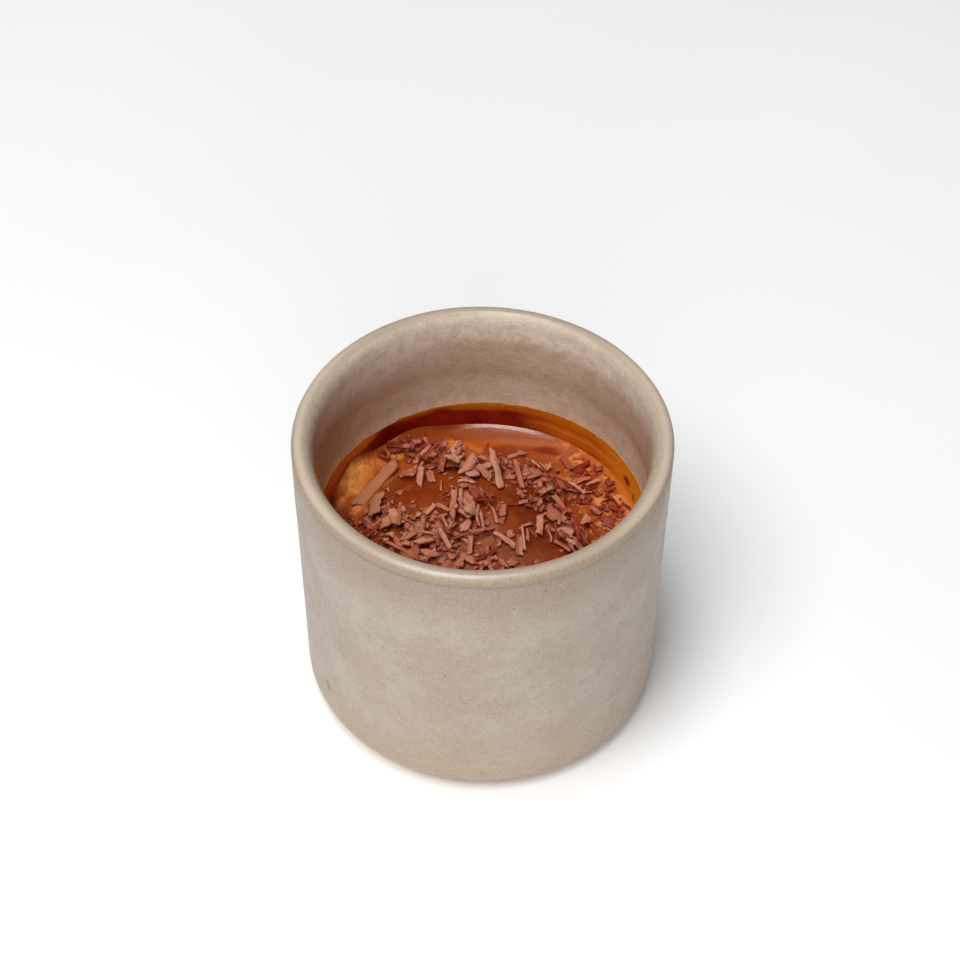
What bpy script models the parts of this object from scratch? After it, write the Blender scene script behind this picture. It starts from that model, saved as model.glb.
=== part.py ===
"""Affogato in its cup: a straight-sided stoneware cup, a scoop of ice cream standing on its
floor, and the espresso poured round it. Metres, +Z up, origin at the centre of the foot."""

import math

import bmesh
import bpy

# Cup, a turned shape
CUP_HEIGHT = 0.072
CUP_RADIUS = 0.040  # outside, under the lip
FOOT_TAPER = 0.0008  # how much narrower the wall is at its foot
CORNER_RADIUS = 0.006  # outside, between wall and foot
LIP_WALL = 0.0030  # thickness of the wall just under its rounded lip
WALL = 0.0040  # thickness of the wall from the shoulder down
SHOULDER_DEPTH = 0.012  # how far below the lip the wall reaches its full thickness
LIP_RADIUS = 0.0016  # rounding of the lip, outside and inside
FLOOR_TOP = 0.0050  # height of the floor inside
FLOOR_CORNER = 0.007  # rounding between floor and wall inside
FOOT_RING_INNER = 0.0285
FOOT_RECESS = 0.0012  # how far the base is hollowed inside the foot ring

# Espresso, which fills the cup round the scoop
DRINK_LEVEL = 0.0385
MENISCUS_HEIGHT = 0.0008  # the drink climbs the wall a little
MENISCUS_WIDTH = 0.0030

# Scoop of ice cream, slumped on the floor, its crown above the drink
SCOOP_CENTRE = (-0.0022, -0.0016, 0.0260)
SCOOP_RADIUS = 0.0313
SCOOP_RISE = 0.0210  # from its widest place to its crown
SCOOP_DEPTH = 0.0300  # the same below, before the floor flattens it
SCOOP_SLUMP = 0.8  # power that flattens the crown as the ice cream melts; 1 is an ellipsoid
SCOOP_UNEVEN = 0.018  # share of its size by which its surface swells and dips
SCOOP_SEGMENTS, SCOOP_RINGS = 56, 26

GAP = 0.0003  # between pieces that touch
TURN_STEPS = 64
ARC_STEPS = 6  # points along each rounded corner
MERGE = 0.00001


def empty_scene():
    for thing in list(bpy.data.objects):
        bpy.data.objects.remove(thing, do_unlink=True)


def new_collection(name):
    collection = bpy.data.collections.new(name)
    bpy.context.scene.collection.children.link(collection)
    return collection


def finish(name, colour, roughness):
    material = bpy.data.materials.new(name)
    material.use_nodes = True
    shader = material.node_tree.nodes["Principled BSDF"]
    shader.inputs["Base Color"].default_value = (*colour, 1.0)
    shader.inputs["Roughness"].default_value = roughness
    shader.inputs["Metallic"].default_value = 0.0
    return material


def arc(centre, radius, start, end):
    """Points (r, z) on an arc, with its angles in degrees anticlockwise from +r."""
    points = []
    for step in range(ARC_STEPS + 1):
        angle = math.radians(start + (end - start) * step / ARC_STEPS)
        points.append((centre[0] + radius * math.cos(angle), centre[1] + radius * math.sin(angle)))
    return points


def outer_radius(z):
    """Radius of the wall outside: a cylinder drawn in very slightly towards its foot."""
    return CUP_RADIUS - FOOT_TAPER * (1.0 - z / CUP_HEIGHT)


def inner_radius(z):
    """Radius of the wall inside: the wall thickens smoothly from the lip to the shoulder."""
    below_lip = min(max((CUP_HEIGHT - z) / SHOULDER_DEPTH, 0.0), 1.0)
    eased = below_lip * below_lip * (3.0 - 2.0 * below_lip)
    return outer_radius(z) - LIP_WALL - (WALL - LIP_WALL) * eased


def inside_of_cup(top):
    """The cup's inside from the middle of its floor up to a height."""
    corner_z = FLOOR_TOP + FLOOR_CORNER
    corner_r = inner_radius(corner_z) - FLOOR_CORNER
    points = [(0.0, FLOOR_TOP), (corner_r * 0.5, FLOOR_TOP)]
    points += arc((corner_r, corner_z), FLOOR_CORNER, -90, 0)
    wall_steps = 4
    for step in range(1, wall_steps + 1):
        z = corner_z + (top - corner_z) * step / wall_steps
        points.append((inner_radius(z), z))
    return points


def cup_profile():
    lip_z = CUP_HEIGHT - LIP_RADIUS
    shoulder_z = CUP_HEIGHT - SHOULDER_DEPTH
    points = inside_of_cup(shoulder_z)
    shoulder_steps = 4
    for step in range(1, shoulder_steps):
        z = shoulder_z + (lip_z - shoulder_z) * step / shoulder_steps
        points.append((inner_radius(z), z))
    points += arc((inner_radius(lip_z) + LIP_RADIUS, lip_z), LIP_RADIUS, 180, 90)
    points += arc((CUP_RADIUS - LIP_RADIUS, lip_z), LIP_RADIUS, 90, 0)[1:]
    corner_r = outer_radius(CORNER_RADIUS) - CORNER_RADIUS
    points += arc((corner_r, CORNER_RADIUS), CORNER_RADIUS, 0, -90)
    points += [
        (FOOT_RING_INNER, 0.0),
        (FOOT_RING_INNER - FOOT_RECESS, FOOT_RECESS),
        (0.0, FOOT_RECESS),
    ]
    return points


def espresso_profile():
    """The drink's outside, a gap in from the cup, under a level top with a small meniscus."""
    rim_z = DRINK_LEVEL + MENISCUS_HEIGHT
    outline = inside_of_cup(rim_z)
    # The gap runs square to the cup's surface: up from the floor, in from the wall.
    corner_z = FLOOR_TOP + FLOOR_CORNER
    corner_r = inner_radius(corner_z) - FLOOR_CORNER
    inset = []
    for r, z in outline:
        if r <= corner_r:
            inset.append((r, z + GAP))
        elif z < corner_z:
            share = (FLOOR_CORNER - GAP) / FLOOR_CORNER
            inset.append((corner_r + (r - corner_r) * share, corner_z + (z - corner_z) * share))
        else:
            inset.append((r - GAP, z))
    edge = inset[-1][0]
    meniscus_steps = 4
    top = []
    for step in range(1, meniscus_steps + 1):
        share = step / meniscus_steps
        top.append((edge - MENISCUS_WIDTH * share, DRINK_LEVEL + MENISCUS_HEIGHT * (1.0 - share) ** 2))
    top += [(edge * 0.5, DRINK_LEVEL), (0.0, DRINK_LEVEL)]
    # Top first, then down the outer side, as a profile at +X has to run.
    return top[::-1] + inset[::-1]


def turned(name, profile, collection, material):
    """A solid turned round the Z axis from its profile, which ends on the axis both ways."""
    mesh = bpy.data.meshes.new(name)
    points = [(r, 0.0, z) for r, z in profile]
    mesh.from_pydata(points, [(i, i + 1) for i in range(len(points) - 1)], [])
    mesh.materials.append(material)
    piece = bpy.data.objects.new(name, mesh)
    collection.objects.link(piece)
    screw = piece.modifiers.new("Turn", "SCREW")
    screw.axis = "Z"
    screw.angle = math.tau
    screw.steps = screw.render_steps = TURN_STEPS
    screw.use_merge_vertices = True
    screw.merge_threshold = MERGE
    screw.use_smooth_shade = True
    return piece


def swelling(azimuth, height):
    """How far the scoop's surface swells or dips at a place, from -1 to 1."""
    wave = math.sin(2.0 * azimuth + 0.7 + 1.9 * height)
    wave += 0.6 * math.sin(3.0 * azimuth - 1.1 - 2.6 * height)
    wave += 0.4 * math.sin(5.0 * azimuth + 2.3 + 3.7 * height)
    return wave / 2.0


def scoop(name, grow, collection):
    """The scoop as a sphere shaped by hand: flatter above, fuller below, cut off by the floor."""
    mesh = bpy.data.meshes.new(name)
    shape = bmesh.new()
    bmesh.ops.create_uvsphere(shape, u_segments=SCOOP_SEGMENTS, v_segments=SCOOP_RINGS, radius=1.0)
    for vertex in shape.verts:
        x, y, height = vertex.co
        size = 1.0 + SCOOP_UNEVEN * swelling(math.atan2(y, x), height) * (1.0 - height * height)
        reach = SCOOP_RADIUS * size + grow
        if height > 0.0:
            z = height**SCOOP_SLUMP * (SCOOP_RISE + grow)
        else:
            z = height * (SCOOP_DEPTH + grow)
        vertex.co = (x * reach, y * reach, z)
    floor = FLOOR_TOP + GAP - SCOOP_CENTRE[2] - grow
    cut = bmesh.ops.bisect_plane(
        shape,
        geom=shape.verts[:] + shape.edges[:] + shape.faces[:],
        plane_co=(0.0, 0.0, floor),
        plane_no=(0.0, 0.0, -1.0),
        clear_outer=True,
    )
    rim = [item for item in cut["geom_cut"] if isinstance(item, bmesh.types.BMEdge)]
    bmesh.ops.contextual_create(shape, geom=rim)
    bmesh.ops.recalc_face_normals(shape, faces=shape.faces)
    shape.to_mesh(mesh)
    shape.free()
    mesh.shade_smooth()
    mesh.set_sharp_from_angle(angle=math.radians(40))
    piece = bpy.data.objects.new(name, mesh)
    piece.location = SCOOP_CENTRE
    collection.objects.link(piece)
    return piece


def make_cup(parts):
    return turned("cup", cup_profile(), parts, finish("stoneware", (0.47, 0.40, 0.33), 0.55))


def make_ice_cream(parts):
    piece = scoop("ice_cream", 0.0, parts)
    piece.data.materials.append(finish("ice_cream", (0.27, 0.10, 0.035), 0.6))
    return piece


def make_espresso(parts, cutters):
    piece = turned("espresso", espresso_profile(), parts, finish("espresso", (0.33, 0.12, 0.03), 0.15))
    hollow = scoop("scoop_hollow", GAP, cutters)
    hollow.hide_render = True
    hollow.display_type = "WIRE"
    cut = piece.modifiers.new("Scoop", "BOOLEAN")
    cut.operation = "DIFFERENCE"
    cut.solver = "EXACT"
    cut.object = hollow
    return piece


empty_scene()
affogato = new_collection("affogato")
cutting = new_collection("cutters")
make_cup(affogato)
make_ice_cream(affogato)
make_espresso(affogato, cutting)
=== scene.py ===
"""An affogato as it is served: a speckled stoneware cup, espresso with its crema, a melting scoop
of ice cream, and milk chocolate shaved over the top. Metres, +Z up, the cup's foot at the origin."""

import math
import random
from collections import Counter

import bmesh
import bpy
import numpy as np
from mathutils import Matrix, Vector, noise
from mathutils.bvhtree import BVHTree

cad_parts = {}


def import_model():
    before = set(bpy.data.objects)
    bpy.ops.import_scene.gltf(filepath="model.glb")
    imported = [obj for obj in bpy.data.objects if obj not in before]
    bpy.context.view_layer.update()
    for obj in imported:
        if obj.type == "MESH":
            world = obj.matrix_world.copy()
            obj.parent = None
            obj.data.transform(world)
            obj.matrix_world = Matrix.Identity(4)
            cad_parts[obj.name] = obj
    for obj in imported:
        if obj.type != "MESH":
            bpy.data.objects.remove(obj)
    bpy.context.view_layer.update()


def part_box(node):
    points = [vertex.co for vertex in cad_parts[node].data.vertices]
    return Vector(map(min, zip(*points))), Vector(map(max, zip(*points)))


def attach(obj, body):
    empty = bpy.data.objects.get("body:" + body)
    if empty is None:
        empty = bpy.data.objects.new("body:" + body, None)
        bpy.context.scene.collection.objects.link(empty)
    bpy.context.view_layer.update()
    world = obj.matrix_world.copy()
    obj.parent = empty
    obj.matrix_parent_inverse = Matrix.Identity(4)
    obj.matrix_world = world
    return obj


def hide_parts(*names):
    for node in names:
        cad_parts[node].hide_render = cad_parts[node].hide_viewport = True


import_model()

# ---------------------------------------------------------------------------------------------
# The cup: iron-flecked stoneware thrown on a wheel, with no handle. The lip is round, with a
# shallow groove turned under it, and the wall thickens to a shoulder inside. It was dipped in
# a satin oatmeal glaze, and the foot ring was wiped back to the bare clay.
# ---------------------------------------------------------------------------------------------

MM = 0.001
CUP_RADIUS, _, CUP_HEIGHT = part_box("cup")[1]
FOOT_TAPER = 0.8 * MM
LIP_OUTSIDE = 1.8 * MM  # rounding of the lip
LIP_INSIDE, LIP_INSIDE_DEPTH = 3.0 * MM, 4.6 * MM  # inside it is half an oval, which runs into the wall
WALL = LIP_OUTSIDE + LIP_INSIDE
HOLLOW, HOLLOW_Z, HOLLOW_DEPTH = 0.7 * MM, 62 * MM, 9 * MM
FOOT_OF_HOLLOW, FOOT_OF_HOLLOW_Z = 0.35 * MM, 51 * MM
FRONT_LOWER, FRONT_LOWER_DEPTH = 0.65 * MM, 14 * MM  # the rim is not quite level
GROOVE_Z = CUP_HEIGHT - 2.7 * MM
GROOVE_DEPTH, GROOVE_WIDTH = 0.2 * MM, 0.8 * MM
TURNING, TURNING_LENGTH, TURNING_FADES = 0.03 * MM, 5.3 * MM, 20 * MM  # the tool's marks outside
RIDGES, RIDGE_LENGTH, RIDGES_FADE = 0.05 * MM, 1.35 * MM, 8 * MM  # the fingers' marks inside
CORNER = 6 * MM
FLOOR = 5 * MM
FLOOR_CORNER = 7 * MM
FOOT_RING = 28.5 * MM
FOOT_RECESS = 1.2 * MM
RECESS_ROUND, RING_ROUND = 0.4 * MM, 0.3 * MM
TURNS = 256
ALMOST = 0.002 * MM  # closer than this, two vertices are one


def arc(centre, across, start, end, steps, up=None):
    """Points (radius, height) round part of a circle or an oval, its angles in degrees."""
    points = []
    for step in range(steps + 1):
        angle = math.radians(start + (end - start) * step / steps)
        points.append((centre[0] + across * math.cos(angle), centre[1] + (up or across) * math.sin(angle)))
    return points


def ease(value):
    """0 to 1 with soft ends."""
    value = min(max(value, 0.0), 1.0)
    return value * value * (3.0 - 2.0 * value)


def wall_outside(z):
    groove = GROOVE_DEPTH * math.exp(-(((z - GROOVE_Z) / GROOVE_WIDTH) ** 2))
    turning = TURNING * (1.0 - math.cos(z / TURNING_LENGTH)) * ease((CUP_HEIGHT - z) / TURNING_FADES)
    return CUP_RADIUS - FOOT_TAPER * (1.0 - z / CUP_HEIGHT) - groove - turning


def wall_inside(z):
    """The inner wall, with the faint ridges that fingers leave as the clay is drawn up."""
    wall = WALL - HOLLOW * ease((HOLLOW_Z - z) / HOLLOW_DEPTH)
    wall += FOOT_OF_HOLLOW * ease((FOOT_OF_HOLLOW_Z - z) / HOLLOW_DEPTH)
    ridges = RIDGES * math.sin(z / RIDGE_LENGTH) * ease((CUP_HEIGHT - 6 * MM - z) / RIDGES_FADE)
    taper = FOOT_TAPER * (inner_lip_z - z) / CUP_HEIGHT
    return CUP_RADIUS - taper - wall + ridges


def climb(radius_at, start, end, step):
    """Points up or down a wall, about a step apart."""
    count = max(2, round(abs(end - start) / step))
    return [(radius_at(z), z) for z in (start + (end - start) * i / count for i in range(1, count))]


def begin(name, add, **settings):
    """Starts a piece from a plain shape."""
    bpy.ops.object.select_all(action="DESELECT")
    add(**settings)
    piece = bpy.context.object
    piece.name = piece.data.name = name
    return piece


def throw(name, outline):
    """Draws an outline (radius, height) point by point from a single vertex, then spins it."""
    piece = begin(name, bpy.ops.mesh.primitive_plane_add, size=MM)
    bpy.ops.object.mode_set(mode="EDIT")
    bpy.ops.mesh.merge(type="CENTER")
    bpy.ops.transform.translate(value=(outline[0][0], 0.0, outline[0][1]))
    for (r, z), (next_r, next_z) in zip(outline, outline[1:]):
        bpy.ops.mesh.extrude_region_move(TRANSFORM_OT_translate={"value": (next_r - r, 0.0, next_z - z)})
    bpy.ops.mesh.select_all(action="SELECT")
    bpy.ops.mesh.spin(steps=TURNS, angle=math.tau, center=(0, 0, 0), axis=(0, 0, 1))
    bpy.ops.mesh.select_all(action="SELECT")
    bpy.ops.mesh.remove_doubles(threshold=ALMOST)
    bpy.ops.mesh.normals_make_consistent(inside=False)
    bpy.ops.object.mode_set(mode="OBJECT")
    bpy.ops.object.shade_smooth()
    return piece


def press(piece, kind, **settings):
    """Adds a modifier with its settings and applies it."""
    bpy.context.view_layer.objects.active = piece
    modifier = piece.modifiers.new(kind.title(), kind)
    for name, value in settings.items():
        setattr(modifier, name, value)
    bpy.ops.object.modifier_apply(modifier=modifier.name)


def record(piece, name, values):
    """Keeps a value for each vertex, for the piece's finish to read."""
    piece.data.attributes.new(name, "FLOAT", "POINT").data.foreach_set("value", values)


def clouds(name, size):
    """A cloud texture whose lumps are about a size across, to push a surface with."""
    texture = bpy.data.textures.new(name, "CLOUDS")
    texture.noise_scale = size
    texture.noise_depth = 2
    return texture


lip_z = CUP_HEIGHT - LIP_OUTSIDE
inner_lip_z = CUP_HEIGHT - LIP_INSIDE_DEPTH
corner_r = wall_outside(CORNER) - CORNER
inner_corner_z = FLOOR + FLOOR_CORNER
inner_corner_r = wall_inside(inner_corner_z) - FLOOR_CORNER
foot_r = FOOT_RING - FOOT_RECESS

cup_outline = [(0.0, FOOT_RECESS)] + [(foot_r * i / 8, FOOT_RECESS) for i in range(1, 8)]
cup_outline += arc((foot_r - RECESS_ROUND, FOOT_RECESS - RECESS_ROUND), RECESS_ROUND, 90, 30, 3)
cup_outline += arc((FOOT_RING + RING_ROUND, RING_ROUND), RING_ROUND, 200, 270, 3)
cup_outline += [(FOOT_RING + (corner_r - FOOT_RING) * i / 4, 0.0) for i in range(1, 4)]
cup_outline += arc((corner_r, CORNER), CORNER, -90, 0, 12)
cup_outline += climb(wall_outside, CORNER, lip_z, 0.8 * MM)
cup_outline += arc((CUP_RADIUS - LIP_OUTSIDE, lip_z), LIP_OUTSIDE, 0, 90, 10)
cup_outline += arc((CUP_RADIUS - LIP_OUTSIDE, inner_lip_z), LIP_INSIDE, 90, 180, 12, LIP_INSIDE_DEPTH)[1:]
cup_outline += climb(wall_inside, inner_lip_z, inner_corner_z, 0.7 * MM)
cup_outline += arc((inner_corner_r, inner_corner_z), FLOOR_CORNER, 0, -90, 10)
cup_outline += [(inner_corner_r * i / 8, FLOOR) for i in range(7, -1, -1)]

cup = throw("stoneware_cup", cup_outline)
press(cup, "DISPLACE", texture=clouds("hand", 22 * MM), strength=0.3 * MM, mid_level=0.7)
press(cup, "DISPLACE", texture=clouds("glaze_lies_uneven", 4 * MM), strength=0.05 * MM, mid_level=0.8)
record(cup, "level", [vertex.co.z for vertex in cup.data.vertices])
for vertex in cup.data.vertices:
    toward_front = (0.5 - 0.5 * vertex.co.y / CUP_RADIUS) ** 2
    vertex.co.z -= FRONT_LOWER * toward_front * ease(1.0 - (CUP_HEIGHT - vertex.co.z) / FRONT_LOWER_DEPTH)
    vertex.co.z = max(vertex.co.z, 0.0)


def srgb(red, green, blue):
    """A colour given as it looks on a screen, 0 to 255, as the shader takes it."""
    linear = []
    for value in (red, green, blue):
        value /= 255
        linear.append(value / 12.92 if value <= 0.04045 else ((value + 0.055) / 1.055) ** 2.4)
    return (*linear, 1.0)


class Nodes:
    """A node tree, with short names for the nodes that the finishes are made of."""

    def __init__(self, tree):
        self.tree = tree

    def node(self, kind, *wires, **settings):
        """Adds a node. Settings are its options; wires go to its inputs in order, and may be values."""
        made = self.tree.nodes.new("ShaderNode" + kind)
        for name, value in settings.items():
            setattr(made, name, value)
        for socket, wire in zip(made.inputs, wires):
            self.fill(socket, wire)
        return made

    def fill(self, socket, wire):
        if isinstance(wire, bpy.types.NodeSocket):
            self.tree.links.new(wire, socket)
        elif wire is not None:
            socket.default_value = wire

    def maths(self, operation, *values):
        return self.node("Math", *values, operation=operation).outputs[0]

    def times(self, *values):
        return self.maths("MULTIPLY", *values)

    def plus(self, *values):
        return self.maths("ADD", *values)

    def minus(self, *values):
        return self.maths("SUBTRACT", *values)

    def vectors(self, operation, *values):
        return self.node("VectorMath", *values, operation=operation).outputs[0]

    def length(self, vector):
        return self.node("VectorMath", vector, operation="LENGTH").outputs["Value"]

    def spot(self):
        """Where a point is, in metres."""
        return self.node("TexCoord").outputs["Object"]

    def xyz(self, vector):
        return self.node("SeparateXYZ", vector).outputs

    def off_axis(self, spot):
        """How far a point is from the cup's axis."""
        return self.length(self.vectors("MULTIPLY", spot, (1.0, 1.0, 0.0)))

    def attribute(self, name):
        return self.node("Attribute", attribute_name=name).outputs["Fac"]

    def step(self, value, low, high):
        """A mask that goes softly from 0 to 1 as a value goes from low to high."""
        return self.node("MapRange", value, low, high, interpolation_type="SMOOTHSTEP").outputs[0]

    def between(self, mask, low, high):
        return self.node("MapRange", mask, 0.0, 1.0, low, high).outputs[0]

    def mix(self, mask, under, over, blend="MIX"):
        """The colour under a mask, and the colour over it, each a wire or as it looks on a screen."""
        made = self.node("Mix", mask, data_type="RGBA", blend_type=blend)
        for socket, colour in ((made.inputs[6], under), (made.inputs[7], over)):
            self.fill(socket, srgb(*colour) if isinstance(colour, tuple) else colour)
        return made.outputs[2]


class Group(Nodes):
    """A shader node group with named inputs and one output, a mask."""

    def __init__(self, name, **inputs):
        super().__init__(bpy.data.node_groups.new(name, "ShaderNodeTree"))
        for socket_name, value in inputs.items():
            kind = "NodeSocketFloat" if isinstance(value, float) else "NodeSocketVector"
            socket = self.tree.interface.new_socket(socket_name, in_out="INPUT", socket_type=kind)
            socket.default_value = value
        self.tree.interface.new_socket("Mask", in_out="OUTPUT", socket_type="NodeSocketFloat")
        self.given = self.tree.nodes.new("NodeGroupInput").outputs

    def give(self, mask):
        self.tree.links.new(mask, self.tree.nodes.new("NodeGroupOutput").inputs[0])


def drift_group():
    """Slow or fine cloudiness: lumps about a size across, in metres, cut between low and high."""
    group = Group("Drift", Size=0.01, Detail=3.0, Low=0.4, High=0.6, Shift=0.0)
    given = group.given
    moved = group.vectors("ADD", group.spot(), given["Shift"])
    lumps = group.node("TexNoise", moved, None, group.maths("DIVIDE", 1.0, given["Size"]), given["Detail"])
    group.give(group.step(lumps.outputs[0], given["Low"], given["High"]))
    return group.tree


def fleck_group():
    """Round flecks strewn at random: their spacing and radius in metres, and the share kept."""
    group = Group("Flecks", Spacing=0.003, Radius=0.0002, Share=0.3)
    given, spot = group.given, group.spot()
    scale = group.maths("DIVIDE", 1.0, given["Spacing"])
    cells = group.node("TexVoronoi", spot, None, scale)
    wobble = group.node("TexNoise", spot, None, group.times(scale, 6.0), 2.0).outputs[0]
    reach = group.times(cells.outputs["Distance"], given["Spacing"])
    reach = group.times(reach, group.plus(wobble, 0.5))
    chance = group.node("SeparateColor", cells.outputs["Color"]).outputs
    size = group.times(given["Radius"], group.plus(chance[1], 0.4))
    inside = group.step(reach, size, group.times(size, 0.6))
    kept = group.maths("LESS_THAN", chance[0], given["Share"])
    group.give(group.times(inside, kept))
    return group.tree


def patch_group():
    """A soft oval patch with a wandering edge: its centre and half sizes in metres."""
    metres = {"Centre": (0, 0, 0), "Size": (0.01, 0.01, 0.01)}
    group = Group("Patch", **metres, Turn=0.0, Wander=0.002, Softness=0.4, Grain=0.006)
    given, spot = group.given, group.spot()
    lumps = group.node("TexNoise", spot, None, group.maths("DIVIDE", 1.0, given["Grain"]), 3.0)
    swing = group.vectors("SUBTRACT", lumps.outputs["Color"], (0.5, 0.5, 0.5))
    swing = group.node("VectorMath", swing, operation="SCALE")
    group.fill(swing.inputs["Scale"], group.times(given["Wander"], 4.0))
    spot = group.vectors("SUBTRACT", group.vectors("ADD", spot, swing.outputs[0]), given["Centre"])
    turned = group.node("VectorRotate", spot, rotation_type="Z_AXIS")
    group.fill(turned.inputs["Angle"], group.times(given["Turn"], -1.0))
    away = group.length(group.vectors("DIVIDE", turned.outputs[0], given["Size"]))
    inner = group.minus(1.0, given["Softness"])
    outer = group.plus(1.0, given["Softness"])
    group.give(group.step(away, outer, inner))
    return group.tree


DRIFT, FLECKS, PATCH = drift_group(), fleck_group(), patch_group()


class Finish(Nodes):
    """A material, with its shader's inputs and the colour painted so far."""

    def __init__(self, name, roughness, **plain):
        self.material = bpy.data.materials.new(name)
        self.material.use_nodes = True
        super().__init__(self.material.node_tree)
        self.shader = self.tree.nodes["Principled BSDF"].inputs
        for socket, value in dict(plain, Roughness=roughness).items():
            self.shader[socket.replace("_", " ")].default_value = value

    def use(self, group, **values):
        """Places one of the shared groups with its own values, and gives its mask."""
        made = self.node("Group", node_tree=group)
        for name, value in values.items():
            made.inputs[name].default_value = value
        return made.outputs[0]

    def drift(self, **values):
        return self.use(DRIFT, **values)

    def flecks(self, **values):
        return self.use(FLECKS, **values)

    def patch(self, **values):
        return self.use(PATCH, **values)

    def oval(self, centre, half_length, half_width, turn=0.0, **values):
        """A patch seen from above, as long and wide as said in mm and turned by degrees."""
        size = (half_length * MM, half_width * MM, 30 * MM)
        centre = [value * MM for value in centre]
        return self.patch(Centre=centre, Size=size, Turn=math.radians(turn), **values)

    def paint(self, mask, over, share=None):
        """Lays a colour over the colour so far, where a mask is, or a share of it."""
        if share is not None:
            mask = self.times(mask, share)
        self.colour = self.mix(mask, self.colour, over)

    def wire(self, value, socket):
        self.tree.links.new(value, self.shader[socket])

    def raised(self, *layers):
        """Bump from layers of (height mask, depth in metres), the first one deepest down."""
        normal = None
        for height, depth in layers:
            bump = self.node("Bump")
            bump.inputs["Distance"].default_value = depth
            self.fill(bump.inputs["Height"], height)
            self.fill(bump.inputs["Normal"], normal)
            normal = bump.outputs[0]
        self.wire(normal, "Normal")


glaze = Finish("oatmeal_glaze", 0.42)
spot = glaze.spot()
height = glaze.attribute("level")
radius = glaze.off_axis(spot)


def under_lip(start, end):
    """A mask from one depth below the lip to another, in mm."""
    return glaze.step(height, CUP_HEIGHT - start * MM, CUP_HEIGHT - end * MM)


outside = glaze.step(radius, CUP_RADIUS - 3.4 * MM, CUP_RADIUS - 2.0 * MM)
clouded = glaze.drift(Size=0.014, Detail=4.0, Low=0.36, High=0.64)
glaze.colour = glaze.mix(clouded, (178, 161, 145), (187, 173, 159))
# Inside, the same glaze is painted paler and warmer, tan at the left and paler just above the coffee: painted
# bounce light from the coffee.
inside_colour = glaze.mix(clouded, (202, 175, 153), (210, 187, 167))
across, further_back, _ = glaze.xyz(spot)
on_left = glaze.step(across, -0.022, -0.034)
# Painted warm bounce light: the shaded left wall is tinted tan.
inside_colour = glaze.mix(glaze.times(on_left, 0.6), inside_colour, (200, 160, 112))
# A painted pool of light high on the inner wall at the back left.
back_left = glaze.times(glaze.step(across, -0.006, -0.022), glaze.step(further_back, 0.0, 0.012))
back_left = glaze.times(back_left, under_lip(14, 7))
inside_colour = glaze.mix(glaze.times(back_left, 0.7), inside_colour, (238, 224, 208))
# Painted light on the slope under the lip, paler at the back than at the front.
lip_inside = under_lip(8.5, 4.5)
lip_slope = glaze.mix(glaze.step(further_back, 0.0, 0.022), (208, 190, 171), (236, 218, 199))
inside_colour = glaze.mix(lip_inside, inside_colour, lip_slope)
inner_half = glaze.step(radius, CUP_RADIUS - 1.7 * MM, CUP_RADIUS - 2.9 * MM)
inner_half = glaze.times(inner_half, under_lip(4.6, 2.2))
over_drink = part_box("espresso")[1][2] + 6.6 * MM
# Painted bounce light: a paler band on the wall just above the coffee, stronger at the left.
painted_bounce_band = glaze.step(height, over_drink + 4 * MM, over_drink)
more_on_left = glaze.times(glaze.step(across, -0.008, -0.02), 0.4)
painted_bounce_band = glaze.times(painted_bounce_band, glaze.plus(0.55, more_on_left))
inside_colour = glaze.mix(painted_bounce_band, inside_colour, (236, 214, 190))
glaze.colour = glaze.mix(outside, inside_colour, glaze.colour)
# Outside it warms towards the foot and greys towards the lip, under smudges.
wander = glaze.times(glaze.drift(Size=0.02, Low=0.2, High=0.8), 0.014)
low_down = glaze.step(glaze.plus(height, wander), 0.034, 0.006)
glaze.paint(glaze.times(low_down, outside), (182, 160, 136))
high_up = glaze.times(glaze.step(height, 0.052, 0.068), outside)
glaze.paint(high_up, (162, 143, 125), 0.7)
smudges = glaze.drift(Size=0.0026, Detail=5.0, Low=0.45, High=0.62, Shift=0.3)
glaze.paint(smudges, (168, 150, 131), 0.3)
# The lip is painted paler at its sides, a painted highlight, and darker on its inner half, a painted shade.
# The glaze runs thin over the lip's outer edge, and the groove under it is painted darker, a painted shade.
lip_top = under_lip(0.9, 0.2)
at_sides = glaze.step(glaze.maths("ABSOLUTE", across), 0.022, 0.034)
lip_colour = glaze.mix(at_sides, (182, 166, 147), (208, 191, 170))
glaze.paint(lip_top, lip_colour, 0.75)
# Painted shade on the inner half of the lip.
glaze.paint(inner_half, (172, 154, 134), 0.6)
thin_glaze = glaze.times(under_lip(2.7, 1.8), under_lip(0.3, 1.0))
thin_glaze = glaze.times(thin_glaze, outside)
in_front = glaze.maths("MAXIMUM", glaze.step(further_back, 0.01, -0.01), on_left)
thin_glaze = glaze.times(thin_glaze, in_front)
thin_glaze = glaze.times(thin_glaze, glaze.step(across, 0.036, 0.02))
glaze.paint(thin_glaze, (168, 144, 117), 0.65)
# Painted shade in the groove under the lip.
off_groove = glaze.maths("ABSOLUTE", glaze.minus(height, GROOVE_Z))
in_groove = glaze.times(glaze.step(off_groove, 0.7 * MM, 0.1 * MM), outside)
glaze.paint(in_groove, (146, 128, 108), 0.6)
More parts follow.
